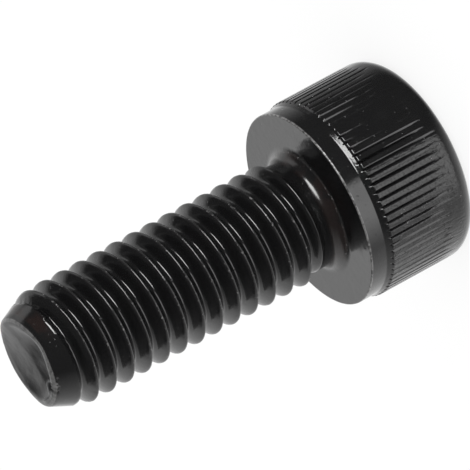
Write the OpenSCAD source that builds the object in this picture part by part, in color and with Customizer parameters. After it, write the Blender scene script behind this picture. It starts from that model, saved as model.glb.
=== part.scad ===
// Hex socket cap screw, metric, fully threaded, in millimetres.
// The seat under the head lies on z = 0. The head is below it and the point is at the top.

/* [Thread] */
// Nominal diameter of the thread
thread_d = 6; // [5.6:0.1:6.6]
// Pitch of the right-hand thread
pitch = 1; // [0.8:0.05:1.2]
// Length from the seat to the end of the point
length = 16; // [8:0.5:25]
// Clearance of the crest below the nominal diameter, on the diameter
crest_allow = 0.03; // [0:0.01:0.1]
// Depth of the thread from crest to root, as a share of the pitch
depth_share = 0.613; // [0.45:0.01:0.65]
// Width of the crest, as a share of the pitch
crest_share = 0.12; // [0.05:0.01:0.2]
// Width of the rounded root, as a share of the pitch
root_share = 0.22; // [0.1:0.01:0.3]
// Height of the root's two edges above its middle
root_round = 0.05; // [0:0.01:0.1]
// Angle about the axis at which the helix starts
thread_turn = 321; // [0:1:359]

/* [Point] */
// Diameter of the rim on the end face
rim_d = 4.44; // [3.6:0.02:4.7]
// Slope of the chamfered point, measured from the axis
point_angle = 24; // [12:1:45]
// Length of plain chamfer past the last of the thread
point_plain = 0.85; // [0.3:0.05:1.5]
// Length over which the thread fades out towards the point
point_fade = 0.75; // [0.3:0.05:2]
// Rounding of the rim
rim_round = 0.12; // [0.02:0.01:0.3]
// Width of the rim around the dished end face
rim_w = 0.3; // [0.1:0.01:0.8]
// Depth of the dish in the end face
dish_depth = 0.3; // [0.05:0.01:0.8]
// Drop of the rim on the -X side, as a share of the plain chamfer
rim_sag = 0.33; // [0:0.01:0.45]

/* [Neck] */
// Diameter of the plain neck, which is that of the blank before rolling
neck_d = 5.3; // [5:0.05:5.5]
// Radius of the fillet between neck and seat
fillet_r = 0.6; // [0.2:0.05:0.8]
// Height above the seat at which the thread begins to grow
runout_z = 1; // [0.85:0.05:2]
// Length over which the thread grows to its full depth
runout_len = 0.6; // [0.3:0.05:2.5]

/* [Head] */
// Diameter over the knurl
head_d = 10; // [9:0.1:12]
// Height of the head
head_h = 5.9; // [5.2:0.05:8]
// Diameter of the plain band beside the seat
band_d = 9.72; // [8.6:0.02:9.8]
// Height of the plain band
band_h = 0.8; // [0.3:0.05:1.5]
// Height of the step from the band up to the knurl
step_h = 0.25; // [0.1:0.05:0.6]
// Bevel on the edge of the seat
seat_bevel = 0.04; // [0.02:0.01:0.2]
// Radius of the rounded top edge
edge_r = 0.9; // [0.3:0.05:1.2]
// Share of that quarter round which is left before the flat top
edge_share = 0.88; // [0.5:0.01:0.98]

/* [Knurl] */
// Number of grooves
knurl_count = 80; // [24:1:90]
// Depth of a groove beside the band
knurl_depth = 0.13; // [0.05:0.01:0.2]
// Width of a groove at its mouth beside the band
knurl_w = 0.18; // [0.08:0.01:0.24]
// Length from the band over which a groove runs out
knurl_run = 4.1; // [2:0.1:4.3]

/* [Socket] */
// Width of the hexagon across its flats
socket_af = 5; // [3:0.05:6]
// Depth of the hexagon
socket_depth = 3.2; // [1.5:0.1:4]
// Depth of the cone below the hexagon
socket_cone = 0.6; // [0.2:0.05:1]
// Width of the bevel round the mouth, past the corners
socket_bevel = 0.1; // [0.05:0.01:0.3]

/* [Hidden] */
FINISH = [0.1, 0.1, 0.105];
// Facets round the true curves, and columns round the thread
FACETS = 96;
COLUMNS = 40;
// Distance by which a cutting shape runs past what it cuts
PAST = 1;

crest_r = (thread_d - crest_allow) / 2;
root_r = crest_r - depth_share * pitch;
neck_r = neck_d / 2;
rim_r = rim_d / 2;
head_r = head_d / 2;
band_r = band_d / 2;
step_z = -band_h - step_h;
edge_drop = edge_r * edge_share;
socket_r = socket_af / 2 / cos(30);

// The thread as rows of points, each row a helix. ROW_U holds each row's place in the pitch.
ROW_U = [-crest_share / 2, crest_share / 2, 0.5 - root_share / 2, 0.5, 0.5 + root_share / 2];
ROW_R = [crest_r, crest_r, root_r + root_round, root_r, root_r + root_round];
ROWS = len(ROW_U);
// The thread starts inside the head, and the neck's facets stay just inside the true neck.
buried = 1;
start_z = -buried + pitch * crest_share;
core_r = neck_r - 0.01;
last_z = length - point_plain;
turns = ceil((last_z - start_z) / pitch);
last_row = turns * ROWS;

function smooth(t) = let (c = min(1, max(0, t))) c * c * (3 - 2 * c);

// Share of the full depth that the thread has at a height
function grown(z) = smooth((z - runout_z) / runout_len) * smooth((last_z - z) / point_fade);

// Radius of the chamfered point at a height
function point_r(z) = rim_r + (length - z) * tan(point_angle);

function surface_r(z, full_r) = min(point_r(z), core_r + grown(z) * (full_r - core_r));

// Drop of the rim in a column: none on the +X half, and all of it at -X
function sag(j) = rim_sag * point_plain * smooth(-cos(360 * j / COLUMNS + thread_turn));

// Past the last of the thread the rows draw together, so that none runs beyond the point
function pressed(z, j) =
    let (room = 0.95 * (point_plain - rim_round - sag(j)))
    z <= last_z ? z : last_z + room * (1 - exp(-(z - last_z) / room));

function on_axis(r, angle, z) = [r * cos(angle), r * sin(angle), z];

function row_point(i, j) =
    let (
        m = i % ROWS,
        raw = start_z + pitch * (floor(i / ROWS) + ROW_U[m] + j / COLUMNS),
        z = pressed(raw, j)
    )
    on_axis(surface_r(z, ROW_R[m]), 360 * j / COLUMNS, z);

// Radius and height of the plain rings, one below the rows, then the rim and the dish above them.
// The third number is the share of the rim's drop that a ring takes.
dish_r = rim_r - rim_w;
RINGS = [
    [core_r, -buried - pitch * crest_share, 0],
    [rim_r, length - rim_round, 1],
    [rim_r - rim_round, length, 1],
    [dish_r, length, 1],
    [dish_r * 0.6, length - dish_depth * 0.75, 0.4]
];

// Where the rim drops it moves out along the chamfer
function ring_point(k, j) =
    let (drop = sag(j) * RINGS[k][2])
    on_axis(RINGS[k][0] + drop * tan(point_angle), 360 * j / COLUMNS, RINGS[k][1] - drop);

function at(i, j) = i * COLUMNS + j;
function ring(k, j) = (last_row + 1 + k) * COLUMNS + j % COLUMNS;

// Two triangles for four corners that go clockwise as seen from outside
function pair(a, b, c, d) = [[a, b, c], [a, c, d]];
function joined(lists) = [for (list = lists) for (item = list) item];

thread_points = concat(
    [for (i = [0:last_row]) for (j = [0:COLUMNS - 1]) row_point(i, j)],
    [for (k = [0:len(RINGS) - 1]) for (j = [0:COLUMNS - 1]) ring_point(k, j)],
    [[0, 0, length - dish_depth]]
);
dish_middle = len(thread_points) - 1;
last_column = COLUMNS - 1;

// Between neighbouring rows
thread_sides = joined([for (i = [0:last_row - 1]) for (j = [0:last_column - 1])
    pair(at(i, j), at(i + 1, j), at(i + 1, j + 1), at(i, j + 1))]);
// Across the seam, where a row goes on as the row one turn above
thread_seam = joined([for (i = [0:last_row - ROWS - 1])
    pair(at(i, last_column), at(i + 1, last_column), at(i + 1 + ROWS, 0), at(i + ROWS, 0))]);
// From the lowest row down to the first ring
thread_start = concat(
    joined([for (j = [0:last_column - 1]) pair(ring(0, j), at(0, j), at(0, j + 1), ring(0, j + 1))]),
    [for (i = [0:ROWS - 1]) [at(0, last_column), at(i + 1, 0), at(i, 0)]],
    pair(at(0, last_column), at(0, 0), ring(0, 0), ring(0, last_column)),
    [[for (j = [0:last_column]) ring(0, j)]]
);
// From the highest row up over the rim and into the dish
thread_end = concat(
    joined([for (j = [0:last_column - 1])
        pair(at(last_row, j), ring(1, j), ring(1, j + 1), at(last_row, j + 1))]),
    pair(at(last_row, last_column), ring(1, last_column), ring(1, 0), at(last_row, 0)),
    [for (i = [last_row - ROWS:last_row - 1])
        [at(i, last_column), at(i + 1, last_column), at(last_row, 0)]],
    joined([for (k = [1:len(RINGS) - 2]) for (j = [0:last_column])
        pair(ring(k, j), ring(k + 1, j), ring(k + 1, j + 1), ring(k, j + 1))]),
    [for (j = [0:last_column])
        [ring(len(RINGS) - 1, j), dish_middle, ring(len(RINGS) - 1, j + 1)]]
);

// Threaded shank with its chamfered and dished point
module threaded_shank() {
    color(FINISH)
        rotate([0, 0, thread_turn])
            polyhedron(
                points = thread_points,
                faces = concat(thread_sides, thread_seam, thread_start, thread_end),
                convexity = 10
            );
}

// Half section of the head without its knurl and socket, seat at the top
module head_section() {
    polygon([
        [0, 0],
        [band_r - seat_bevel, 0],
        [band_r, -seat_bevel],
        [band_r, -band_h],
        [head_r, step_z],
        [head_r, -head_h + edge_drop],
        [0, -head_h + edge_drop]
    ]);
    intersection() {
        union() {
            translate([head_r - edge_r, -head_h + edge_drop]) circle(r = edge_r, $fn = FACETS);
            translate([0, -head_h]) square([head_r - edge_r, edge_drop]);
        }
        translate([0, -head_h]) square([head_r, edge_drop + 0.01]);
    }
}

// Half section of the neck and of the fillet at its foot
module neck_section() {
    translate([0, -0.5]) square([neck_r, 0.5 + fillet_r + 0.1]);
    difference() {
        translate([neck_r - 0.5, -0.5]) square([fillet_r + 0.5, fillet_r + 0.5]);
        translate([neck_r + fillet_r, fillet_r]) circle(r = fillet_r, $fn = FACETS);
        translate([neck_r + fillet_r - 0.01, -PAST]) square([PAST, 2 * PAST]);
    }
}

// One groove of the knurl, as a wedge that leans in towards the band
module knurl_groove() {
    lean = atan(knurl_depth / knurl_run);
    reach = knurl_depth + 0.1;
    half_w = knurl_w / 2 * reach / knurl_depth;
    translate([head_r - knurl_depth, 0, -band_h])
        rotate([0, -lean, 0])
            translate([0, 0, -knurl_run - PAST])
                linear_extrude(height = knurl_run + PAST)
                    polygon([[0, 0], [reach, half_w], [reach, -half_w]]);
}

// Hexagon with a bevelled mouth and a conical floor
module socket() {
    mouth_r = socket_r + socket_bevel;
    bevel_h = (mouth_r - socket_af / 2) * tan(30);
    translate([0, 0, -head_h - PAST])
        rotate([0, 0, 30])
            cylinder(r = socket_r, h = socket_depth + PAST, $fn = 6);
    translate([0, 0, -head_h - bevel_h])
        cylinder(r1 = mouth_r + bevel_h / tan(30), r2 = socket_af / 2, h = 2 * bevel_h, $fn = FACETS);
    translate([0, 0, -head_h + socket_depth - 0.01])
        cylinder(r1 = socket_af / 2 - 0.05, r2 = 0.02, h = socket_cone, $fn = FACETS);
}

module head() {
    color(FINISH)
        difference() {
            union() {
                rotate_extrude($fn = FACETS) head_section();
                rotate_extrude($fn = FACETS) neck_section();
            }
            for (i = [0:knurl_count - 1])
                rotate([0, 0, 360 * i / knurl_count]) knurl_groove();
            socket();
        }
}

module cap_screw() {
    head();
    threaded_shank();
}

cap_screw();
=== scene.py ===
"""A black M6 hex socket cap screw, standing on its head, as the photograph shows it."""

import math

import bmesh
import bpy
from mathutils import Matrix, Vector
from mathutils import noise as solid_noise


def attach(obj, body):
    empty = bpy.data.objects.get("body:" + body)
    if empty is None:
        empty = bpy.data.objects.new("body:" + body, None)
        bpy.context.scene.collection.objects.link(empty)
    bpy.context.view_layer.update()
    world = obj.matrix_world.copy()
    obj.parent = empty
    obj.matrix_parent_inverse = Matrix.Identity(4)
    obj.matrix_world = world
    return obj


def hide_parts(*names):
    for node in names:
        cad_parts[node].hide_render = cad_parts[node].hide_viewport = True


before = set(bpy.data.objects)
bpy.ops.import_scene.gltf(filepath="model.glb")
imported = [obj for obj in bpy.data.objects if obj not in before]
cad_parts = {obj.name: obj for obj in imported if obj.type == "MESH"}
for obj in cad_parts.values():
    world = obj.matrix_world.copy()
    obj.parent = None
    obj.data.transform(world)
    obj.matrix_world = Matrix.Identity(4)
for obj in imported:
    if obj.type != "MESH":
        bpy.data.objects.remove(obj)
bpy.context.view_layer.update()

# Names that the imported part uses
BODY = "root"
NODE = "cap_screw"

# Sizes of the screw are in millimetres. The seat is at z = 0 and the point is at the top.
MM = 0.001

# Thread and neck, as on the solid
PITCH = 1.0
LENGTH = 16.0
CREST_R = 2.985
ROOT_R = 2.372
NECK_R = 2.65
FILLET_R = 0.6
RUNOUT_Z = 1.0
RUNOUT_LEN = 0.6
# Height of a crest above the seat on the side that faces the camera, as a share of the pitch
CREST_PHASE = 0.228

# Section of the thread, rounder at crest and root than the solid's. Flanks are slopes.
CREST_HALF = 0.05
CREST_BLEND = 0.17
POINT_FLANK = math.tan(math.radians(60))
HEAD_FLANK = math.tan(math.radians(63.5))
ROOT_ROUND = 0.28
ROOT_BLEND = 0.02

# The seam that rolling leaves along the crest, and the thread's unevenness
SEAM_HALF = 0.07
SEAM_DEPTH = 0.012
CREST_ROUGHNESS = 0.03
ROUGH_CREST = (0.05, 0.17)
WAVINESS = 0.02
# A grain is the scale and the detail of a noise over millimetres.
CREST_GRAIN = (3.5, 3.0)
WAVE_GRAIN = (0.7, 2.0)

# The thread's end at the point, which is rougher there
POINT_FADE = 0.4
FADE_PAST = 0.05
RAGGED_END = 0.4
RAGGED_GRAIN = (3.0, 3.0)
ROUGH_END = (-1.4, -0.9)
ROUGH_END_GAIN = 4.0
CONE_BLEND = 0.04
# Share of the room beside a limit that the last rows of the thread may take
ROOM_SHARE = 0.95

# Point, with a dish that slopes and a rim that was sheared lower on one side
POINT_SLOPE = math.tan(math.radians(24))
POINT_PLAIN = 0.85
RIM_R = 2.22
RIM_W = 0.3
RIM_ROUND = 0.12
RIM_SAG = 0.28
RIM_FADE = 1.5
# Distance inwards from the rim and down from the end, from the chamfer to the dish
RIM_SECTION = ((-0.05, RIM_ROUND), (0.02, 0.05), (0.06, 0.02), (0.12, 0.001), (0.2, 0.004))
RIM_DENT = 0.1
RIM_DENT_AT = math.radians(10)
RIM_DENT_WIDTH = 0.38
RAGGED_RIM = 0.012
RAGGED_R_SCALE = 4.0
RAGGED_Z_SCALE = 7.0
BURR_AT = math.radians(-42)
BURR_WIDTH = 0.3
BURR_GAIN = 9
DISH_DEPTH = 0.12
DISH_POWER = 2.2
END_LOW = 0.015
END_TILT = 0.13
END_SKEW = 0.4
TILT_POWER = 9
# Unevenness of the dish: slice of the noise, its scale and its height
END_WAVES = ((4.0, 1.1, 0.02), (9.0, 4.0, 0.004))
CRATER_AT = (0.22, -1.5)
CRATER_R = 0.24
CRATER_DEPTH = 0.06
CRATER_CORE = 0.8
CRATER_LIP = 0.04
CRATER_LIP_AT = 1.15
CRATER_LIP_WIDTH = 0.25

# Head
HEAD_R = 5.0
HEAD_H = 5.9
BAND_R = 4.86
BAND_H = 0.8
TOP_EDGE_R = 0.9
TOP_EDGE_DROP = TOP_EDGE_R * 0.88

# The seat's edge is a steep bevel and a short round one, a little uneven.
SEAT_BEVEL = 0.055
BEVEL_SLOPE = 0.24
SEAT_EDGE_ROUND = 0.025
SEAT_EDGE_ROUGHNESS = 0.025
SEAT_EDGE_FADE = 0.1
SEAT_EDGE_GRAIN = (4.0, 3.0)

# The step from band to knurl is a gentle slope over most of its rise, and then a steep one.
STEP_START = 0.07
STEP_SLOPE = 0.34
STEP_SHARE = 0.62
STEP_BLEND = 0.02
STEP_STEEP = 0.04

# Knurl
KNURL_COUNT = 80
KNURL_DEPTH = 0.13
KNURL_RUN = 4.1
# Half the width of a groove, as a share of the space from groove to groove
GROOVE_HALF = 0.205
GROOVE_START = 0.24
GROOVE_END_POWER = 0.4
# Each groove's own shift, depth and length, as shares, and the seeds of their random numbers
GROOVE_SHIFT = 0.05
GROOVE_DEPTHS = (0.65, 1.08)
GROOVE_RUNS = (0.86, 1.04)
SHIFT_SEED = 3
DEPTH_SEED = 8
RUN_SEED = 5
# Levels of the noise between which grooves are worn, and how much is left of a worn one
WORN_LEVELS = (-0.25, -0.05)
WORN_LEAST = 0.5
WORN_GRAIN = (0.9, 2.0)

# Where the lands are rubbed nearly smooth: shares of a turn from +X and depths below the seat
RUBBED_FROM = (0.03, 0.055)
RUBBED_TO = (0.155, 0.17)
RUBBED_BELOW = (1.1, 1.6)
RUBBED_TO_STEP_FROM = (0.072, 0.085)
RUBBED_TO_STEP_BELOW = (0.8, 1.1)
# What rubbing leaves of a groove: a little everywhere, and more in some places
LEFT_EVERYWHERE = 0.18
LEFT_FROM = (0.098, 0.106)
LEFT_TO = (0.122, 0.13)
LEFT_ABOVE = (3.3, 4.2)
LEFT_LEVELS = (0.0, 0.25)
LEFT_GRAIN = (1.1, 2.0)
LEFT_IN_PATCHES = 0.4
LEFT_LOW_DOWN = (4.2, 4.5)
LEFT_LOW_DOWN_SHARE = 0.3
LEFT_MOST = 0.7

# Socket
SOCKET_AF = 5.0
SOCKET_DEPTH = 3.2
SOCKET_CONE = 0.6
SOCKET_BEVEL = 0.1
SOCKET_FLOOR_LEDGE = 0.05

# Density of the mesh
THREAD_COLUMNS = 200
ROWS_PER_PITCH = 14
# How far the thread's rows are drawn towards crest and root
ROW_PULL = 0.5
# The lowest row starts below the neck's top by one pitch and a little.
THREAD_START = RUNOUT_Z - PITCH - 0.05
THREAD_PITCHES = math.ceil((LENGTH - POINT_PLAIN - THREAD_START) / PITCH)
COLUMNS_PER_GROOVE = 12
# The columns across half a groove's space: up to each share, spread by each factor
GROOVE_PACKING = ((0.25, 0.88), (0.3334, 0.6), (0.5, 1.38))
EDGE_ROWS = 6
EDGE_REACH = 0.09
BAND_ROWS = 3
STEP_ROWS = 22
STEP_REACH = 0.5
KNURL_ROWS = 22
TOP_PULL = 0.6
SOCKET_COLUMNS = 144
FILLET_STEPS = 12
DISH_STEPS = 26
# Distance from a flat face's edge at which one more ring keeps its shading flat
FLAT_HOLD = 0.03
WELD = 0.0004
SHARP_ANGLE = math.radians(48)


class Field:
    """A number field in a node tree, so that a formula can be written as one."""

    def __init__(self, tree, socket):
        self.tree = tree
        self.socket = socket

    def math(self, operation, *others):
        node = self.tree.nodes.new("ShaderNodeMath")
        node.operation = operation
        for place, value in enumerate((self,) + others):
            if isinstance(value, Field):
                self.tree.links.new(value.socket, node.inputs[place])
            else:
                node.inputs[place].default_value = value
        return Field(self.tree, node.outputs[0])

    def __add__(self, other):
        return self.math("ADD", other)

    def __sub__(self, other):
        return self.math("SUBTRACT", other)

    def __mul__(self, other):
        return self.math("MULTIPLY", other)

    def __truediv__(self, other):
        return self.math("DIVIDE", other)

    def minus_from(self, value):
        return (self * -1.0) + value

    def at_least(self, other):
        return self.math("MAXIMUM", other)

    def at_most(self, other):
        return self.math("MINIMUM", other)

    def within(self, low, high):
        return self.at_least(low).at_most(high)

    def soft_at_most(self, other, blend):
        return self.math("SMOOTH_MIN", other, blend)

    def soft_at_least(self, other, blend):
        return self.math("SMOOTH_MAX", other, blend)

    def share(self, low, high):
        """0 at low, 1 at high, and smooth between them. Low may be the greater."""
        node = self.tree.nodes.new("ShaderNodeMapRange")
        node.interpolation_type = "SMOOTHSTEP"
        self.tree.links.new(self.socket, node.inputs["Value"])
        for name, value in (("From Min", low), ("From Max", high)):
            if isinstance(value, Field):
                self.tree.links.new(value.socket, node.inputs[name])
            else:
                node.inputs[name].default_value = value
        return Field(self.tree, node.outputs["Result"])

    def rest(self, low, high):
        """What is left of the share: 1 at low and 0 at high."""
        return self.share(low, high).minus_from(1.0)


# Parts of node trees

def noise(tree, place, scale, detail):
    """Noise about 0 over a place in millimetres. Most of it is within 0.25 of 0."""
    node = tree.nodes.new("ShaderNodeTexNoise")
    node.inputs["Scale"].default_value = scale
    node.inputs["Detail"].default_value = detail
    tree.links.new(place, node.inputs["Vector"])
    return Field(tree, node.outputs["Fac"]) - 0.5


def vector(tree, x, y, z):
    node = tree.nodes.new("ShaderNodeCombineXYZ")
    for label, value in (("X", x), ("Y", y), ("Z", z)):
        tree.links.new(value.socket, node.inputs[label])
    return node.outputs[0]


def parts_of(tree, place):
    """The three numbers of a vector."""
    split = tree.nodes.new("ShaderNodeSeparateXYZ")
    tree.links.new(place, split.inputs[0])
    return [Field(tree, split.outputs[label]) for label in "XYZ"]


def random_number(tree, number, low, high, seed):
    """A fixed random number for each whole number."""
    node = tree.nodes.new("FunctionNodeRandomValue")
    node.data_type = "FLOAT"
    node.inputs["Min"].default_value = low
    node.inputs["Max"].default_value = high
    node.inputs["Seed"].default_value = seed
    tree.links.new(number.socket, node.inputs["ID"])
    return Field(tree, node.outputs["Value"])


def mixed_colour(tree, share, one, other):
    """Mixes two colours, each a colour or a socket."""
    mix = tree.nodes.new("ShaderNodeMix")
    mix.data_type = "RGBA"
    tree.links.new(share.socket, mix.inputs[0])
    for place, colour in ((6, one), (7, other)):
        if isinstance(colour, tuple):
            mix.inputs[place].default_value = (*colour, 1)
        else:
            tree.links.new(colour, mix.inputs[place])
    return mix.outputs[2]


# Geometry trees

def new_tree(name, inputs):
    """A geometry tree with named number inputs, and the fields that they give."""
    tree = bpy.data.node_groups.new(name, "GeometryNodeTree")
    tree.is_modifier = True
    tree.interface.new_socket("Geometry", in_out="OUTPUT", socket_type="NodeSocketGeometry")
    for label, value in inputs.items():
        kind = "NodeSocketInt" if isinstance(value, int) else "NodeSocketFloat"
        socket = tree.interface.new_socket(label, in_out="INPUT", socket_type=kind)
        socket.default_value = value
    source = tree.nodes.new("NodeGroupInput")
    fields = {label: Field(tree, source.outputs[label]) for label in inputs}
    return tree, fields


def grid_shares(tree, columns, rows):
    """A flat grid with the share round, 0 to 1, and the row number of each of its points."""
    grid = tree.nodes.new("GeometryNodeMeshGrid")
    grid.inputs["Size X"].default_value = 1.0
    grid.inputs["Size Y"].default_value = 1.0
    for label, count in (("Vertices X", columns), ("Vertices Y", rows)):
        tree.links.new((count + 1.0).socket, grid.inputs[label])
    place = tree.nodes.new("GeometryNodeInputPosition")
    across, along, _ = parts_of(tree, place.outputs[0])
    column = ((across + 0.5) * columns).math("ROUND")
    row = ((along + 0.5) * rows).math("ROUND")
    return grid.outputs["Mesh"], column / columns, row


def on_side(tree, turn, radius, height):
    """A place on the screw from its share of a turn, radius and height."""
    angle = turn * math.tau
    return vector(tree, angle.math("COSINE") * radius, angle.math("SINE") * radius, height)


def wrap_round(tree, mesh, turn, radius, height, material):
    """Moves each grid point to its angle, radius and height, and ends the tree."""
    place = tree.nodes.new("GeometryNodeSetPosition")
    tree.links.new(mesh, place.inputs["Geometry"])
    tree.links.new(on_side(tree, turn, radius, height), place.inputs["Position"])
    realize = tree.nodes.new("GeometryNodeRealizeInstances")
    tree.links.new(place.outputs[0], realize.inputs[0])
    finish = tree.nodes.new("GeometryNodeSetMaterial")
    finish.inputs["Material"].default_value = material
    tree.links.new(realize.outputs[0], finish.inputs["Geometry"])
    result = tree.nodes.new("NodeGroupOutput")
    tree.links.new(finish.outputs[0], result.inputs["Geometry"])


def grown_mesh(name, tree):
    """Evaluates a tree on an empty object and gives back a plain mesh, in millimetres."""
    holder = bpy.data.objects.new(name, bpy.data.meshes.new(name))
    bpy.context.scene.collection.objects.link(holder)
    modifier = holder.modifiers.new(name, "NODES")
    modifier.node_group = tree
    for item in tree.interface.items_tree:
        if item.in_out == "INPUT":
            modifier[item.identifier] = item.default_value
    ready = holder.evaluated_get(bpy.context.evaluated_depsgraph_get())
    mesh = bpy.data.meshes.new_from_object(ready)
    holder.modifiers.remove(modifier)
    bpy.data.objects.remove(holder)
    return mesh


# Thread

def thread_tree(material):
    """The rolled thread with its run-out at the neck and its fading start at the point.

    Each row of the grid is a helix, so that crests and roots follow the mesh."""
    inputs = {
        "Columns": THREAD_COLUMNS,
        "Rows per pitch": ROWS_PER_PITCH,
        "Pitches": THREAD_PITCHES,
        "Pitch": PITCH,
        "Crest radius": CREST_R,
        "Crest half width": CREST_HALF,
        "Crest blend": CREST_BLEND,
        "Root radius": ROOT_R,
        "Root rounding": ROOT_ROUND,
        "Root blend": ROOT_BLEND,
        "Point flank": POINT_FLANK,
        "Head flank": HEAD_FLANK,
        "Seam half width": SEAM_HALF,
        "Seam depth": SEAM_DEPTH,
        "Blank radius": NECK_R,
        "Fillet radius": FILLET_R,
        "Start height": THREAD_START,
        "Start phase": CREST_PHASE,
        "Run-out height": RUNOUT_Z,
        "Run-out length": RUNOUT_LEN,
        "Length": LENGTH,
        "Rim radius": RIM_R,
        "Point slope": POINT_SLOPE,
        "Plain point": POINT_PLAIN,
        "Point fade": POINT_FADE,
        "Rim rounding": RIM_ROUND,
        "Rim sag": RIM_SAG,
        "Crest roughness": CREST_ROUGHNESS,
        "Waviness": WAVINESS,
    }
    tree, size = new_tree("rolled_thread", inputs)
    rows = size["Rows per pitch"] * size["Pitches"]
    mesh, turn, row = grid_shares(tree, size["Columns"], rows)
    last = size["Length"] - size["Plain point"]
    steps = thread_steps(size, row)
    height = thread_height(size, steps, turn, last)
    full = thread_section(tree, size, steps, turn, height, last)
    grown = thread_growth(tree, size, turn, height, last)
    radius = size["Blank radius"] + (full - size["Blank radius"]) * grown
    cone = size["Rim radius"] + (size["Length"] - height) * size["Point slope"]
    radius = radius.soft_at_most(cone, CONE_BLEND)
    wrap_round(tree, mesh, turn, radius, height, material)
    return tree


def thread_steps(size, row):
    """Place of a row in pitches from a root. Rows are drawn towards crest and root."""
    steps = size["Start height"] / size["Pitch"] + row / size["Rows per pitch"] - size["Start phase"]
    return steps - (steps * (2 * math.tau)).math("SINE") * (ROW_PULL / (2 * math.tau))


def thread_height(size, steps, turn, last):
    """Height of a grid point. Rows past the thread's ends draw together, short of rim and fillet."""
    raw = (steps + size["Start phase"] + turn) * size["Pitch"]
    drop = ((turn * math.tau).math("COSINE") * -1.0).share(0.0, 1.0) * size["Rim sag"]
    room_above = (size["Plain point"] - size["Rim rounding"] - drop) * ROOM_SHARE
    room_below = (size["Run-out height"] - size["Fillet radius"]) * ROOM_SHARE
    pressed = fading(raw - last, room_above)
    sunk = fading(size["Run-out height"] - raw, room_below)
    return raw.within(size["Run-out height"], last) + pressed - sunk


def fading(past, room):
    """Draws what runs past a limit together, so that it stays within the room."""
    return (past.at_least(0.0) / room * -1.0).math("EXPONENT").minus_from(1.0) * room


def thread_section(tree, size, steps, turn, height, last):
    """Radius of the full thread, with its seam and its unevenness."""
    phase = steps.math("FRACT")
    # Distances from the middle of the crest and from the middle of the root
    away = (phase - 0.5).math("ABSOLUTE").minus_from(0.5) * size["Pitch"]
    to_root = away.minus_from(size["Pitch"] * 0.5)
    slope = phase.math("GREATER_THAN", 0.5) * (size["Head flank"] - size["Point flank"]) + size["Point flank"]
    flank = size["Crest radius"] - (away - size["Crest half width"]) * slope
    hollow = size["Root radius"] + to_root * to_root / (size["Root rounding"] * 2.0)
    full = flank.soft_at_least(hollow, size["Root blend"])
    full = full.soft_at_most(size["Crest radius"], size["Crest blend"])
    seam = away.rest(0.0, size["Seam half width"]) * size["Seam depth"]
    place = on_side(tree, turn, CREST_R, height)
    near_point = (height - last).share(*ROUGH_END) * ROUGH_END_GAIN + 1.0
    rough = noise(tree, place, *CREST_GRAIN) * size["Crest roughness"] * away.rest(*ROUGH_CREST) * near_point
    return full - seam - rough.math("ABSOLUTE") + noise(tree, place, *WAVE_GRAIN) * size["Waviness"]


def thread_growth(tree, size, turn, height, last):
    """Share of the full depth: it grows at the run-out and ends raggedly at the point."""
    grown = height.share(size["Run-out height"], size["Run-out height"] + size["Run-out length"])
    place = on_side(tree, turn, CREST_R, height)
    ragged_end = height + noise(tree, place, *RAGGED_GRAIN) * RAGGED_END
    return grown * ragged_end.rest(last - size["Point fade"], last + FADE_PAST)


# Side of the head

def head_tree(material):
    """The side of the head: band, step, knurl and the rounded edge, from the seat to the top."""
    inputs = {
        "Columns per groove": COLUMNS_PER_GROOVE,
        "Edge rows": EDGE_ROWS,
        "Band rows": BAND_ROWS,
        "Step rows": STEP_ROWS,
        "Knurl rows": KNURL_ROWS,
        "Edge reach": EDGE_REACH,
        "Step reach": STEP_REACH,
        "Head radius": HEAD_R,
        "Head height": HEAD_H,
        "Band radius": BAND_R,
        "Band height": BAND_H,
        "Step start": STEP_START,
        "Step slope": STEP_SLOPE,
        "Step share": STEP_SHARE,
        "Seat bevel": SEAT_BEVEL,
        "Bevel slope": BEVEL_SLOPE,
        "Seat edge rounding": SEAT_EDGE_ROUND,
        "Top edge radius": TOP_EDGE_R,
        "Top edge drop": TOP_EDGE_DROP,
        "Grooves": KNURL_COUNT,
        "Groove depth": KNURL_DEPTH,
        "Groove length": KNURL_RUN,
        "Groove half width": GROOVE_HALF,
    }
    tree, size = new_tree("knurled_head", inputs)
    columns = size["Columns per groove"] * size["Grooves"]
    mesh, even_turn, row = grid_shares(tree, columns, size["Step rows"] + size["Knurl rows"])
    depth = head_depth(size, row)
    turn, away, number = groove_place(tree, size, even_turn)
    place = on_side(tree, turn, HEAD_R, depth)
    uneven = noise(tree, place, *SEAT_EDGE_GRAIN) * depth.rest(0.0, SEAT_EDGE_FADE) * SEAT_EDGE_ROUGHNESS
    body = head_section(size, depth) + uneven
    wedge = (away / size["Groove half width"]).minus_from(1.0).at_least(0.0)
    cut = groove_depth(tree, size, number, depth, place) * rubbed_left(tree, turn, depth, place)
    radius = body.at_most(size["Head radius"] - cut * wedge)
    wrap_round(tree, mesh, turn, radius, depth * -1.0, material)
    return tree


def head_depth(size, row):
    """Depth of a row below the seat, with close rows at the seat's edge, the step and the top."""
    edge_rows = size["Edge rows"]
    band_rows = size["Band rows"]
    edge = row.at_most(edge_rows) * (size["Edge reach"] / edge_rows)
    on_band = (row - edge_rows).within(0.0, band_rows) / band_rows
    plain = on_band * (size["Band height"] - size["Edge reach"])
    on_step = (row - edge_rows - band_rows) / (size["Step rows"] - edge_rows - band_rows)
    step = on_step.within(0.0, 1.0) * size["Step reach"]
    lower = ((row - size["Step rows"]) / size["Knurl rows"]).at_least(0.0)
    lower = lower * (1 + TOP_PULL) - lower * lower * TOP_PULL
    left = size["Head height"] - size["Band height"] - size["Step reach"]
    return edge + plain + step + lower * left


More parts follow.
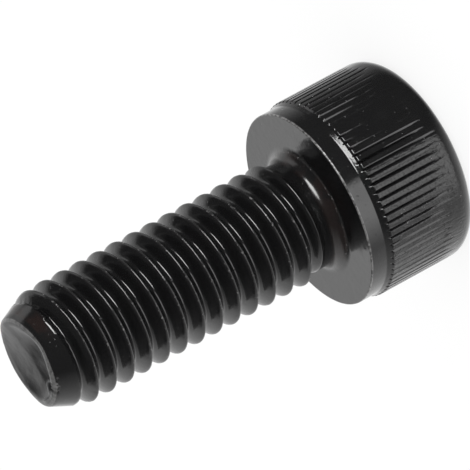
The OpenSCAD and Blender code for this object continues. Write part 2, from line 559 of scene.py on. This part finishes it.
def head_section(size, depth):
    """Radius of the head without its grooves."""
    edge_round = size["Seat edge rounding"]
    corner = (depth / edge_round).minus_from(1.0).at_least(0.0).math("POWER", 2.0) * edge_round
    bevel = (size["Seat bevel"] - depth).at_least(0.0) * size["Bevel slope"] + corner
    rise = size["Head radius"] - size["Band radius"]
    gentle_rise = rise * size["Step share"]
    step_z = size["Band height"] + size["Step start"]
    gentle = ((depth - step_z) * size["Step slope"]).at_least(0.0)
    gentle = gentle.soft_at_most(gentle_rise, STEP_BLEND)
    gentle_end = step_z + gentle_rise / size["Step slope"]
    steep = ((depth - gentle_end) / STEP_STEEP).within(0.0, 1.0) * (rise - gentle_rise)
    below = (depth - size["Head height"] + size["Top edge drop"]).at_least(0.0)
    arc = (size["Top edge radius"] * size["Top edge radius"] - below * below).math("SQRT")
    return size["Band radius"] + gentle + steep - bevel - size["Top edge radius"] + arc


def groove_place(tree, size, even_turn):
    """Draws the columns to the lips of each groove and shifts each groove a little."""
    place = even_turn * size["Grooves"]
    near = place.math("ROUND")
    number = near.math("FLOORED_MODULO", size["Grooves"])
    cell = place - near
    away = cell.math("ABSOLUTE")
    parts = []
    start = 0.0
    for end, factor in GROOVE_PACKING:
        parts.append((away - start).within(0.0, end - start) * factor)
        start = end
    inner, lip, outer = parts
    packed = inner + lip + outer
    shift = random_number(tree, number, -GROOVE_SHIFT, GROOVE_SHIFT, SHIFT_SEED)
    shift = shift * (away * 2.0).minus_from(1.0)
    return (near + packed * cell.math("SIGN") + shift) / size["Grooves"], packed, number


def groove_depth(tree, size, number, depth, place):
    """Depth of a groove, which runs out towards the top and is worn in places."""
    own = random_number(tree, number, *GROOVE_DEPTHS, DEPTH_SEED)
    run = random_number(tree, number, *GROOVE_RUNS, RUN_SEED) * size["Groove length"]
    from_band = depth - size["Band height"]
    start = (from_band - size["Step start"]).share(0.0, GROOVE_START)
    end = (from_band / run).minus_from(1.0).at_least(0.0).math("POWER", GROOVE_END_POWER)
    worn = noise(tree, place, *WORN_GRAIN).share(*WORN_LEVELS) * (1 - WORN_LEAST) + WORN_LEAST
    return size["Groove depth"] * own * start * end * worn


def rubbed_left(tree, turn, depth, place):
    """What rubbing leaves of the grooves, from the left of the camera's side to the bright side."""
    below = depth.share(*RUBBED_BELOW)
    below = below.at_least(turn.share(*RUBBED_TO_STEP_FROM) * depth.share(*RUBBED_TO_STEP_BELOW))
    rubbed = turn.share(*RUBBED_FROM) * turn.rest(*RUBBED_TO) * below
    left = turn.share(*LEFT_FROM) * turn.rest(*LEFT_TO) * depth.rest(*LEFT_ABOVE)
    left = left + noise(tree, place, *LEFT_GRAIN).share(*LEFT_LEVELS) * LEFT_IN_PATCHES
    left = left + depth.share(*LEFT_LOW_DOWN) * LEFT_LOW_DOWN_SHARE
    rubbed = rubbed * (left.at_most(LEFT_MOST) + LEFT_EVERYWHERE).minus_from(1.0)
    return rubbed.minus_from(1.0)


# Rings and loops of the mesh

def turn_of(point):
    return math.atan2(point.y, point.x) % math.tau


def open_loops(form):
    """The loops of open edges, each as vertices in order."""
    following = {}
    for edge in form.edges:
        if edge.is_boundary:
            a, b = edge.verts
            following.setdefault(a, []).append(b)
            following.setdefault(b, []).append(a)
    loops = []
    left = set(following)
    for start in form.verts:
        if start not in left:
            continue
        loop = [start]
        left.discard(start)
        here = start
        while True:
            onward = [v for v in following[here] if v in left]
            if not onward:
                break
            here = onward[0]
            loop.append(here)
            left.discard(here)
        loops.append(loop)
    return loops


def counterclockwise(loop):
    """The loop turned so that it runs counterclockwise seen from above, from angle 0."""
    area = sum(a.co.x * b.co.y - b.co.x * a.co.y for a, b in zip(loop, loop[1:] + loop[:1]))
    if area < 0:
        loop = loop[::-1]

    def from_seam(k):
        turned = turn_of(loop[k].co)
        return round(min(turned, math.tau - turned), 4), loop[k].co.z

    first = min(range(len(loop)), key=from_seam)
    return loop[first:] + loop[:first]


def zip_loops(form, one, other):
    """Joins two loops that run the same way with a strip of triangles, by the shorter diagonal."""
    i = 0
    j = 0
    while i < len(one) or j < len(other):
        a = one[i % len(one)]
        b = other[j % len(other)]
        next_a = one[(i + 1) % len(one)]
        next_b = other[(j + 1) % len(other)]
        shorter_a = (next_a.co - b.co).length <= (next_b.co - a.co).length
        if j >= len(other) or (i < len(one) and shorter_a):
            form.faces.new((a, b, next_a))
            i += 1
        else:
            form.faces.new((a, b, next_b))
            j += 1


def ring(form, columns, radius, height):
    """A ring of vertices. Radius and height are numbers or functions of the angle."""
    verts = []
    for k in range(columns):
        angle = math.tau * k / columns
        r = radius(angle) if callable(radius) else radius
        z = height(angle) if callable(height) else height
        verts.append(form.verts.new((r * math.cos(angle), r * math.sin(angle), z)))
    return verts


def chain(form, rings):
    """Joins rings of as many vertices, one to the next, with quads."""
    for one, other in zip(rings, rings[1:]):
        count = len(one)
        for k in range(count):
            after = (k + 1) % count
            form.faces.new((one[k], one[after], other[after], other[k]))


def close_middle(form, loop, height):
    middle = form.verts.new((0, 0, height))
    for a, b in zip(loop, loop[1:] + loop[:1]):
        form.faces.new((a, b, middle))


# Neck and seat

def add_neck(form, thread_loop, seat_loop):
    """Neck and fillet below the thread, and the flat seat out to the edge of the head."""
    rings = []
    for k in range(FILLET_STEPS + 1):
        lean = 0.5 * math.pi * k / FILLET_STEPS
        radius = NECK_R + FILLET_R * (1 - math.cos(lean))
        height = FILLET_R * (1 - math.sin(lean))
        rings.append(ring(form, THREAD_COLUMNS, radius, height))
    rings.append(ring(form, THREAD_COLUMNS, NECK_R + FILLET_R + FLAT_HOLD, 0.0))
    rings.append(ring(form, THREAD_COLUMNS, seat_loop[0].co.xy.length - FLAT_HOLD, 0.0))
    zip_loops(form, thread_loop, rings[0])
    chain(form, rings)
    zip_loops(form, rings[-1], seat_loop)


# Point

def smooth_step(value):
    held = min(1.0, max(0.0, value))
    return held * held * (3 - 2 * held)


def bell(value):
    return math.exp(-(value**2))


def angle_between(one, other):
    return (one - other + math.pi) % math.tau - math.pi


def rim_drop(angle):
    """How far the rim lies below the end of the screw. It was sheared lower at -X."""
    dent = RIM_DENT * bell(angle_between(angle, RIM_DENT_AT) / RIM_DENT_WIDTH)
    return RIM_SAG * smooth_step(-math.cos(angle)) + dent


def ragged(angle, scale):
    """Ragged noise round the rim, strongest at the burr."""
    burr = bell(angle_between(angle, BURR_AT) / BURR_WIDTH)
    place = Vector((math.cos(angle), math.sin(angle), 0.0)) * scale
    return solid_noise.noise(place) * RAGGED_RIM * (1 + BURR_GAIN * burr)


def end_height(x, y):
    """Height of the dished end face inside the rim, with its crater."""
    inner = RIM_R - RIM_W
    share = min(1.0, math.hypot(x, y) / inner)
    dish = DISH_DEPTH * (1 - share**DISH_POWER)
    slope = END_TILT * (x + inner) * (1 - END_SKEW * y) * (1 - share**TILT_POWER)
    drop = rim_drop(math.atan2(y, x)) * share**RIM_FADE
    height = LENGTH - END_LOW - drop - dish - slope
    for level, scale, amount in END_WAVES:
        height += solid_noise.noise(Vector((x, y, level)) * scale) * amount
    far = math.hypot(x - CRATER_AT[0], y - CRATER_AT[1]) / CRATER_R
    height -= CRATER_DEPTH * math.exp(-((far / CRATER_CORE) ** 4))
    height += CRATER_LIP * bell((far - CRATER_LIP_AT) / CRATER_LIP_WIDTH)
    return height


def rim_ring(form, inwards, down):
    """A ring of the rim, given by its distance inwards and down from the edge of the end."""
    def radius(angle):
        return RIM_R - inwards + rim_drop(angle) * POINT_SLOPE + ragged(angle, RAGGED_R_SCALE)

    def height(angle):
        return LENGTH - down - rim_drop(angle) - abs(ragged(angle, RAGGED_Z_SCALE))

    return ring(form, THREAD_COLUMNS, radius, height)


def dish_ring(form, reach):
    """A ring of the dish. It is a little wider where the rim lies lower on the cone."""
    def radius(angle):
        return reach * (1 + rim_drop(angle) * POINT_SLOPE / RIM_R)

    def height(angle):
        return end_height(reach * math.cos(angle), reach * math.sin(angle))

    return ring(form, THREAD_COLUMNS, radius, height)


def add_point(form, thread_loop):
    """Rim, and the dished end face inside it."""
    rings = [rim_ring(form, inwards, down) for inwards, down in RIM_SECTION]
    for k in range(DISH_STEPS):
        rings.append(dish_ring(form, (RIM_R - RIM_W) * (1 - k / DISH_STEPS)))
    zip_loops(form, thread_loop, rings[0])
    chain(form, rings)
    close_middle(form, rings[-1], end_height(0.0, 0.0))


# Socket

def hexagon(angle):
    """Distance of the hexagon from the axis. A flat faces +X."""
    from_flat = (angle + math.pi / 6) % (math.pi / 3) - math.pi / 6
    return SOCKET_AF / 2 / math.cos(from_flat)


def add_socket(form, top_loop):
    """Flat top, bevelled mouth, hexagon and conical floor."""
    mouth_r = SOCKET_AF / 2 / math.cos(math.pi / 6) + SOCKET_BEVEL
    floor = -HEAD_H + SOCKET_DEPTH

    def bevel_end(angle):
        return -HEAD_H + (mouth_r - hexagon(angle)) * math.tan(math.pi / 6)

    section = (
        (top_loop[0].co.xy.length - FLAT_HOLD, -HEAD_H),
        (mouth_r + FLAT_HOLD, -HEAD_H),
        (mouth_r, -HEAD_H),
        (hexagon, bevel_end),
        (hexagon, -HEAD_H + SOCKET_DEPTH / 2),
        (hexagon, floor),
        (SOCKET_AF / 2 - SOCKET_FLOOR_LEDGE, floor),
        (SOCKET_AF / 4, floor + SOCKET_CONE / 2),
    )
    rings = [ring(form, SOCKET_COLUMNS, radius, height) for radius, height in section]
    zip_loops(form, top_loop, rings[0])
    chain(form, rings)
    close_middle(form, rings[-1], floor + SOCKET_CONE)


# The whole screw

def build_screw(material):
    """Thread and head from their trees, joined with neck, point and socket to one closed mesh."""
    form = bmesh.new()
    form.from_mesh(grown_mesh("thread", thread_tree(material)))
    form.from_mesh(grown_mesh("head", head_tree(material)))
    bmesh.ops.remove_doubles(form, verts=form.verts, dist=WELD)
    loops = [counterclockwise(loop) for loop in open_loops(form)]
    loops.sort(key=lambda loop: sum(v.co.z for v in loop) / len(loop))
    top_loop, seat_loop, neck_loop, point_loop = loops
    add_neck(form, neck_loop, seat_loop)
    add_point(form, point_loop)
    add_socket(form, top_loop)
    bmesh.ops.scale(form, vec=(MM, MM, MM), verts=form.verts)
    bmesh.ops.recalc_face_normals(form, faces=form.faces)
    mesh = bpy.data.meshes.new("screw")
    form.to_mesh(mesh)
    form.free()
    mesh.materials.clear()
    mesh.materials.append(material)
    mesh.shade_smooth()
    mesh.set_sharp_from_angle(angle=SHARP_ANGLE)
    screw = bpy.data.objects.new("screw", mesh)
    bpy.context.scene.collection.objects.link(screw)
    return screw


# Colours of the finish
BLACK = (0.006, 0.006, 0.0062)
BROWN = (0.0125, 0.0078, 0.007)
# Grey that is painted light on one side of the sheared end and a painted highlight round its crater, as well
# as a film in patches
GREY_FILM_AND_PAINTED_LIGHT = (0.07, 0.071, 0.073)
BARE_STEEL = (0.5, 0.495, 0.49)
FINISH_IOR = 1.9

# Bare metal: the levels of the noise at which specks begin and are full, how bare the specks
# are, and how bare the place is between them
CREST_SPECKS = (0.1, 0.22, 0.5, 0.03)
SEAT_EDGE_SPECKS = (-0.1, 0.1, 0.5, 0.1)
RIM_SPECKS = (-0.25, 0.1, 0.2, 0.1)
BURR_SPECKS = (-0.05, 0.12, 0.4, 0.0)
LAND_SPECKS = (0.19, 0.25, 0.5, 0.0)

SPECK_GRAIN = (6.0, 3.0)
LAND_SPECK_GRAIN = (7.0, 2.0)

# Where the finish differs: ranges of radius, height, x, y or distance over which it sets in
CREST_PLACE_R = (CREST_R - 0.06, CREST_R - 0.01)
BESIDE_HEAD_R = (3.1, 3.0)
SEAT_EDGE_R = (BAND_R - 0.06, BAND_R - 0.03)
SEAT_EDGE_Z = (-0.1, -0.06)
RIM_INNER_R = (RIM_R - 0.16, RIM_R - 0.1)
RIM_OUTER_R = (RIM_R + 0.04, RIM_R - 0.01)
RIM_Z = (LENGTH - 0.24, LENGTH - 0.18)
BURR_REACH = (0.5, 0.15)
BURR_Z = (LENGTH - 0.3, LENGTH - 0.15)
LANDS_R = (HEAD_R - 0.03, HEAD_R - 0.01)
BRIGHT_X = (0.5, 2.5)
BRIGHT_Y = (0.8, -0.4)
NECK_TOP_Z = (0.75, 0.4)
NECK_FOOT_Z = (0.0, 0.08)
NECK_OUT_R = (3.2, 3.0)
CHAMFER_FOOT_Z = (LENGTH - 1.0, LENGTH - 0.7)
CHAMFER_TOP_Z = (LENGTH - 0.25, LENGTH - 0.35)
CHAMFER_Y = (0.2, 1.2)
SHEARED_Z = (LENGTH - 0.75, LENGTH - 0.5)
SHEARED_R = (RIM_R + 0.08, RIM_R - 0.05)

# The brown tint's levels of the noise and its grain
TINT_LEVELS = (-0.12, 0.12)
TINT_GRAIN = (1.1, 2.0)

# Roughness of the plain finish, and what each kind of place adds
PLAIN_ROUGHNESS = 0.1
PATCH_ROUGHNESS = 0.07
WORN_ROUGHNESS = 0.25
SHEARED_ROUGHNESS = 0.2
LAND_ROUGHNESS = 0.1
NECK_ROUGHNESS = 0.08
PATCH_LEVELS = (-0.1, 0.25)
PATCH_GRAIN = (1.3, 3.0)

# The sheared end's grey: painted light on one side, a painted highlight on the lip of the crater, and a film
# in patches
PAINTED_LIGHT_SIDE = 0.25
PAINTED_LIGHT_SIDE_Y = (-0.4, 1.6)
FILM_PATCHES = 0.3
FILM_GRAIN = (1.5, 3.0)
# Strength and reach of the painted highlight on the crater's lip
PAINTED_LIP_HIGHLIGHT = 0.8
PAINTED_LIP_HIGHLIGHT_INNER = (0.17, 0.25)
PAINTED_LIP_HIGHLIGHT_OUTER = (0.42, 0.3)

# Orange peel as scale, detail and height, and the depth of pits and rub marks
PEEL = ((3.0, 2.0, 0.005), (11.0, 1.0, 0.0012))
PIT_LEVELS = (0.2, 0.27)
PIT_DEPTH = 0.004
PIT_GRAIN = (7.0, 1.0)
RUB_HEIGHT = 0.02
RUB_STRETCH = 0.18
RUB_GRAIN = (8.0, 2.0)
RUB_BREAK_GRAIN = (7.0, 3.0)


class Surface:
    """Places on the screw in millimetres, as its material sees them."""

    def __init__(self, tree):
        coordinates = tree.nodes.new("ShaderNodeTexCoord")
        scaled = tree.nodes.new("ShaderNodeVectorMath")
        scaled.operation = "SCALE"
        scaled.inputs["Scale"].default_value = 1 / MM
        tree.links.new(coordinates.outputs["Object"], scaled.inputs[0])
        self.tree = tree
        self.place = scaled.outputs[0]
        self.x, self.y, self.z = parts_of(tree, self.place)
        self.radius = (self.x * self.x + self.y * self.y).math("SQRT")

    def noise(self, scale, detail):
        return noise(self.tree, self.place, scale, detail)

    def distance(self, x, y):
        """Distance in plan from a point."""
        from_x = self.x - x
        from_y = self.y - y
        return (from_x * from_x + from_y * from_y).math("SQRT")

    def bright_side(self):
        return self.x.share(*BRIGHT_X) * self.y.share(*BRIGHT_Y)

    def lands(self):
        return self.radius.share(*LANDS_R)

    def near_neck(self):
        return self.z.share(*NECK_TOP_Z) * self.z.share(*NECK_FOOT_Z) * self.radius.share(*NECK_OUT_R)

    def sheared(self):
        return self.z.share(*SHEARED_Z) * self.radius.share(*SHEARED_R)


def speckled(field, begin, full, strength, between):
    """Specks where a noise is high, and a fainter share between them."""
    return field.share(begin, full) * strength + between


def bare_metal(surface):
    """How bare the metal is: in specks along crests, the seat's edge, the rim, burr and lands."""
    radius = surface.radius
    z = surface.z
    specks = surface.noise(*SPECK_GRAIN)
    crest = radius.share(*CREST_PLACE_R) * radius.share(*BESIDE_HEAD_R)
    seat_edge = radius.share(*SEAT_EDGE_R) * z.share(*SEAT_EDGE_Z)
    rim = radius.share(*RIM_INNER_R) * radius.share(*RIM_OUTER_R) * z.share(*RIM_Z)
    from_burr = surface.distance(RIM_R * math.cos(BURR_AT), RIM_R * math.sin(BURR_AT))
    burr = from_burr.share(*BURR_REACH) * z.share(*BURR_Z)
    bare = crest * speckled(specks, *CREST_SPECKS)
    bare = bare.at_least(seat_edge * speckled(specks, *SEAT_EDGE_SPECKS))
    bare = bare.at_least(rim * speckled(specks, *RIM_SPECKS))
    bare = bare.at_least(burr * speckled(specks, *BURR_SPECKS))
    on_lands = surface.lands() * surface.bright_side()
    return bare.at_least(on_lands * speckled(surface.noise(*LAND_SPECK_GRAIN), *LAND_SPECKS))


def tinted_black(surface):
    """Black with a brown tint at the neck and on the chamfer."""
    z = surface.z
    chamfer = z.share(*CHAMFER_FOOT_Z) * z.share(*CHAMFER_TOP_Z) * surface.y.share(*CHAMFER_Y)
    tint = (surface.near_neck() + chamfer) * surface.noise(*TINT_GRAIN).share(*TINT_LEVELS)
    return mixed_colour(surface.tree, tint, BLACK, BROWN)


def film_and_painted_light(surface):
    """Share of grey on the sheared end: painted light on one side, a painted highlight on the crater's lip,
    and a film in patches.
    """
    from_crater = surface.distance(*CRATER_AT)
    # A painted highlight: a lighter ring on the lip round the crater
    lip = from_crater.share(*PAINTED_LIP_HIGHLIGHT_INNER) * from_crater.share(*PAINTED_LIP_HIGHLIGHT_OUTER)
    # Painted light: lighter towards +Y, plus the painted highlight on the crater's lip
    film_and_light_share = surface.y.share(*PAINTED_LIGHT_SIDE_Y) * PAINTED_LIGHT_SIDE + lip * PAINTED_LIP_HIGHLIGHT
    film_and_light_share = film_and_light_share + surface.noise(*FILM_GRAIN) * FILM_PATCHES
    return (surface.sheared() * film_and_light_share).at_least(0.0)


def finish_roughness(surface, bare):
    """Roughness of the finish, which is dull where it is worn, sheared or rubbed."""
    roughness = surface.noise(*PATCH_GRAIN).share(*PATCH_LEVELS) * PATCH_ROUGHNESS
    roughness = roughness + bare * WORN_ROUGHNESS
    roughness = roughness + surface.sheared() * SHEARED_ROUGHNESS
    roughness = roughness + surface.lands() * surface.bright_side() * LAND_ROUGHNESS
    return roughness + surface.near_neck() * NECK_ROUGHNESS + PLAIN_ROUGHNESS


def finish_relief(surface):
    """Height of the orange peel and of the rub marks on the lands, less the pits."""
    relief = surface.noise(*PIT_GRAIN).share(*PIT_LEVELS) * -PIT_DEPTH
    for scale, detail, height in PEEL:
        relief = relief + surface.noise(scale, detail) * height
    stretched = vector(surface.tree, surface.x, surface.y, surface.z * RUB_STRETCH)
    rubbed = noise(surface.tree, stretched, *RUB_GRAIN) + surface.noise(*RUB_BREAK_GRAIN)
    return relief + rubbed * surface.lands() * surface.bright_side() * RUB_HEIGHT


def black_finish():
    """Gloss black oxide over steel: fine orange peel, pits, and wear on the crests and edges."""
    material = bpy.data.materials.new("black_finish")
    material.use_nodes = True
    tree = material.node_tree
    shader = tree.nodes["Principled BSDF"]
    shader.inputs["IOR"].default_value = FINISH_IOR
    surface = Surface(tree)
    bare = bare_metal(surface)
    # The grey mixed over the sheared end is painted light on one side, a painted highlight on the crater's
    # lip, and a film in patches
    with_film_and_painted_light = mixed_colour(tree, film_and_painted_light(surface), tinted_black(surface), GREY_FILM_AND_PAINTED_LIGHT)
    tree.links.new(mixed_colour(tree, bare, with_film_and_painted_light, BARE_STEEL), shader.inputs["Base Color"])
    tree.links.new(bare.socket, shader.inputs["Metallic"])
    tree.links.new(finish_roughness(surface, bare).socket, shader.inputs["Roughness"])
    bump = tree.nodes.new("ShaderNodeBump")
    bump.inputs["Distance"].default_value = MM
    tree.links.new(finish_relief(surface).socket, bump.inputs["Height"])
    tree.links.new(bump.outputs["Normal"], shader.inputs["Normal"])
    return material


# The camera, placed so that the screw has the outline it has in the photograph
FRAME_PX = 470
CAMERA_FAR = 600.0
CAMERA_TILT = math.radians(23.74)
CAMERA_ROLL = math.radians(-118.50)
PX_PER_MM = 21.774
SEAT_AT_PX = (308.46, 209.81)
SENSOR_W = 36.0
CLIP_START = 0.01
CLIP_END = 10


def add_camera():
    back = Vector((math.cos(CAMERA_TILT), 0, math.sin(CAMERA_TILT)))
    level_up = Vector((-math.sin(CAMERA_TILT), 0, math.cos(CAMERA_TILT)))
    level_right = level_up.cross(back)
    right = math.cos(CAMERA_ROLL) * level_right + math.sin(CAMERA_ROLL) * level_up
    up = -math.sin(CAMERA_ROLL) * level_right + math.cos(CAMERA_ROLL) * level_up
    middle = FRAME_PX / 2
    place = back * CAMERA_FAR
    place -= right * (SEAT_AT_PX[0] - middle) / PX_PER_MM
    place += up * (SEAT_AT_PX[1] - middle) / PX_PER_MM
    data = bpy.data.cameras.new("camera")
    data.sensor_width = SENSOR_W
    data.lens = PX_PER_MM * CAMERA_FAR / FRAME_PX * SENSOR_W
    data.clip_start = CLIP_START
    data.clip_end = CLIP_END
    camera = bpy.data.objects.new("camera", data)
    axes = Matrix((right, up, back)).transposed().to_4x4()
    camera.matrix_world = Matrix.Translation(place * MM) @ axes
    bpy.context.scene.collection.objects.link(camera)
    bpy.context.scene.camera = camera


# The floor, in metres but for the gap
FLOOR_HALF = 0.6
FLOOR_GAP = 0.01
FLOOR_PAINT = (0.9, 0.9, 0.9, 1)
FLOOR_ROUGHNESS = 0.9
# Share of the floor's look that is its own white, and the strength of that white
FLOOR_GLOW_SHARE = 0.8
FLOOR_GLOW = 1.05


def floor_finish():
    """White paint that also glows, as the camera sees it, so that only the shadow is grey."""
    material = bpy.data.materials.new("white_floor")
    material.use_nodes = True
    tree = material.node_tree
    paint = tree.nodes["Principled BSDF"]
    paint.inputs["Base Color"].default_value = FLOOR_PAINT
    paint.inputs["Roughness"].default_value = FLOOR_ROUGHNESS
    glow = tree.nodes.new("ShaderNodeEmission")
    glow.inputs["Color"].default_value = (1, 1, 1, 1)
    glow.inputs["Strength"].default_value = FLOOR_GLOW
    path = tree.nodes.new("ShaderNodeLightPath")
    mix = tree.nodes.new("ShaderNodeMixShader")
    share = Field(tree, path.outputs["Is Camera Ray"]) * FLOOR_GLOW_SHARE
    tree.links.new(share.socket, mix.inputs["Fac"])
    tree.links.new(paint.outputs[0], mix.inputs[1])
    tree.links.new(glow.outputs[0], mix.inputs[2])
    tree.links.new(mix.outputs[0], tree.nodes["Material Output"].inputs["Surface"])
    return material


def add_floor():
    """A white floor that the head stands on. It shows the shadow, but no gloss mirrors it."""
    z = -(HEAD_H + FLOOR_GAP) * MM
    corners = [(FLOOR_HALF * x, FLOOR_HALF * y, z) for x, y in ((-1, -1), (1, -1), (1, 1), (-1, 1))]
    mesh = bpy.data.meshes.new("floor")
    mesh.from_pydata(corners, [], [(0, 1, 2, 3)])
    mesh.materials.append(floor_finish())
    floor = bpy.data.objects.new("floor", mesh)
    bpy.context.scene.collection.objects.link(floor)
    floor.visible_glossy = False
    floor.visible_shadow = False


# The key softbox: its direction in degrees, its distance and size in metres, its brightness
KEY_AZIMUTH = 33
KEY_HEIGHT = 2
KEY_FAR = 0.5
KEY_SIZE = (0.44, 0.2)
KEY_GLOW = 6.5
# A lamp or the surround sees a first reflection as a ray of less than this depth.
FIRST_RAY = 2.5


def first_reflection(tree):
    """1 where light reaches the camera by one reflection at most."""
    path = tree.nodes.new("ShaderNodeLightPath")
    return Field(tree, path.outputs["Ray Depth"]).math("LESS_THAN", FIRST_RAY)


def direction(azimuth, height):
    turned = math.radians(azimuth)
    raised = math.radians(height)
    level = math.cos(raised)
    return Vector((level * math.cos(turned), level * math.sin(turned), math.sin(raised)))


def add_key_light():
    toward = direction(KEY_AZIMUTH, KEY_HEIGHT)
    data = bpy.data.lights.new("key_softbox", "AREA")
    data.shape = "ELLIPSE"
    data.size, data.size_y = KEY_SIZE
    # The power of an ellipse of that brightness
    area = KEY_SIZE[0] * KEY_SIZE[1] * math.pi / 4
    data.energy = KEY_GLOW * math.pi * area
    # Only its first reflection counts, since the smooth V of the thread would show it twice.
    data.use_nodes = True
    tree = data.node_tree
    tree.links.new(first_reflection(tree).socket, tree.nodes["Emission"].inputs["Strength"])
    light = bpy.data.objects.new("key_softbox", data)
    turn = toward.to_track_quat("Z", "Y").to_matrix().to_4x4()
    light.matrix_world = Matrix.Translation(toward * KEY_FAR) @ turn
    bpy.context.scene.collection.objects.link(light)


# The surround. Ranges are of a direction's x, y and z, or of its azimuth in radians.
DARK_GLOW = 0.05
LEFT_X = (0.1, 1.0)
LEFT_DIM_Y = (0.25, 0.6)
LEFT_DIM = 0.4
OVERHEAD_Y = (0.6, 0.9)
OVERHEAD_X = (0.05, 0.2)
OVERHEAD_Z = (-0.05, 0.08)
OVERHEAD_GLOW = 0.55
RIGHT_FROM = 0.72
RIGHT_GAIN = 0.5
RIGHT_MOST = 0.93
LOW_Z = (0.1, 0.35)
LOW_FROM = 0.3
LOW_GLOW = 0.2
SIDE_Y = (-0.35, 0.35)
ROOF_Z = (0.43, 0.65)
ROOF_LEAN = 0.06
# A low softbox to the right of the camera
FILL_GLOW = 1.35
FILL_START = (-0.16, 0.04)
FILL_DIM_FROM = (0.5, 1.45)
FILL_DIM = 0.75
FILL_END = (1.3, 1.5)
FILL_LOW_Z = (-0.85, -0.45)
FILL_TOP_Z = (-0.36, -0.24)


def white_sides(x, y, z):
    """Bright on the left, wider and softer on the right, dark above and towards the camera."""
    forward = x * -math.cos(CAMERA_TILT) - z * math.sin(CAMERA_TILT)
    behind = x * -1.0
    left = behind.share(*LEFT_X) * (y.share(*LEFT_DIM_Y) * -LEFT_DIM + 1.0) + DARK_GLOW
    overhead = y.share(*OVERHEAD_Y) * behind.share(*OVERHEAD_X) * z.share(*OVERHEAD_Z)
    left = left.at_least(overhead * OVERHEAD_GLOW)
    right = ((forward + RIGHT_FROM) * RIGHT_GAIN).within(0.0, RIGHT_MOST)
    right = right + (z * -1.0).share(*LOW_Z) * (forward + LOW_FROM).within(0.0, 1.0) * LOW_GLOW
    side = y.share(*SIDE_Y)
    glow = left * side + right * side.minus_from(1.0)
    return glow * (z + y * ROOF_LEAN).rest(*ROOF_Z)


def fill_light(x, y, z):
    """A low softbox to the right of the camera, with a crisp end."""
    azimuth = (y * -1.0).math("ARCTAN2", x)
    fill = azimuth.share(*FILL_START) * (azimuth.share(*FILL_DIM_FROM) * FILL_DIM).minus_from(1.0)
    fill = fill * azimuth.rest(*FILL_END) * z.share(*FILL_LOW_Z) * z.rest(*FILL_TOP_Z)
    return fill * FILL_GLOW


def add_surround():
    """The studio round the screw as gloss mirrors it, and plain white for all else."""
    world = bpy.data.worlds.new("studio")
    world.use_nodes = True
    tree = world.node_tree
    place = tree.nodes.new("ShaderNodeTexCoord")
    x, y, z = parts_of(tree, place.outputs["Generated"])
    fill = fill_light(x, y, z) * first_reflection(tree)
    glow = white_sides(x, y, z).at_least(fill).at_least(DARK_GLOW)
    path = tree.nodes.new("ShaderNodeLightPath")
    plain = Field(tree, path.outputs["Is Camera Ray"])
    plain = plain.at_least(Field(tree, path.outputs["Is Diffuse Ray"]))
    glow = glow * plain.minus_from(1.0) + plain
    tree.links.new(glow.socket, tree.nodes["Background"].inputs["Strength"])
    tree.nodes["Background"].inputs["Color"].default_value = (1, 1, 1, 1)
    bpy.context.scene.world = world


screw = build_screw(black_finish())
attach(screw, BODY)
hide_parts(NODE)
add_camera()
add_floor()
add_key_light()
add_surround()
bpy.context.scene.view_settings.view_transform = "Standard"
